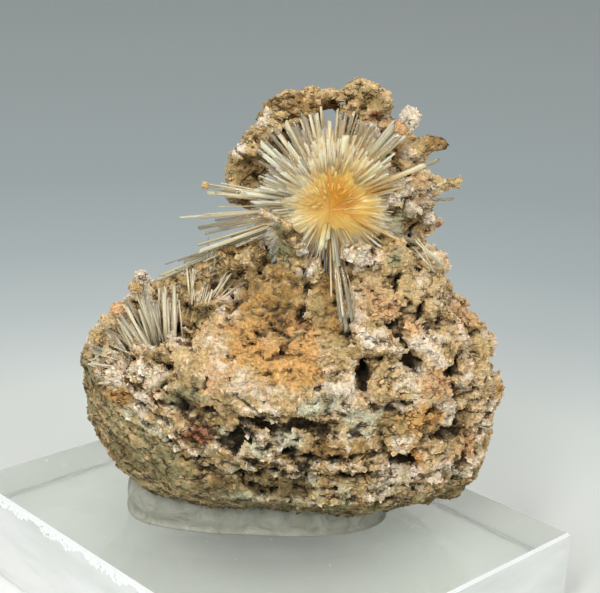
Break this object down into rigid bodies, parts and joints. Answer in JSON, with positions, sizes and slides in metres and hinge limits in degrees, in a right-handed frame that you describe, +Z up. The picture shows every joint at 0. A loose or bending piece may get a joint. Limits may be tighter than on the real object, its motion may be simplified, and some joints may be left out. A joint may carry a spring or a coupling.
{
  "type": "aragonite specimen",
  "caption": "Lumpy tan rock with a hood around a honey-cored ball of clear aragonite needles and a needle fan on its shoulder, set in putty on a clear acrylic block.",
  "frame": {"origin": "centre of the clear block's underside, on the surface it stands on", "axes": "+Z up, +X along the block's long side, +Y along its short side; the specimen faces the block's corner between +X and -Y"},
  "size_m": [0.061, 0.0512, 0.0673],
  "materials": {
    "clear_acrylic": "clear, polished faces and narrow polished chamfers",
    "putty": "off-white museum putty, smooth and slightly waxy, pressed by hand",
    "rock": "rough tan, ochre and grey-green matrix with white and orange crusts",
    "honey_aragonite": "glassy needles, honey yellow at the core and colourless at the tips",
    "clear_aragonite": "glassy, nearly colourless needles, some with tan crusted tips"
  },
  "bodies": {
    "root": {"acrylic_block": "clear_acrylic", "mounting_putty": "putty", "matrix_rock": "rock", "main_spray": "honey_aragonite", "left_spray": "clear_aragonite"}
  },
  "joints": []
}
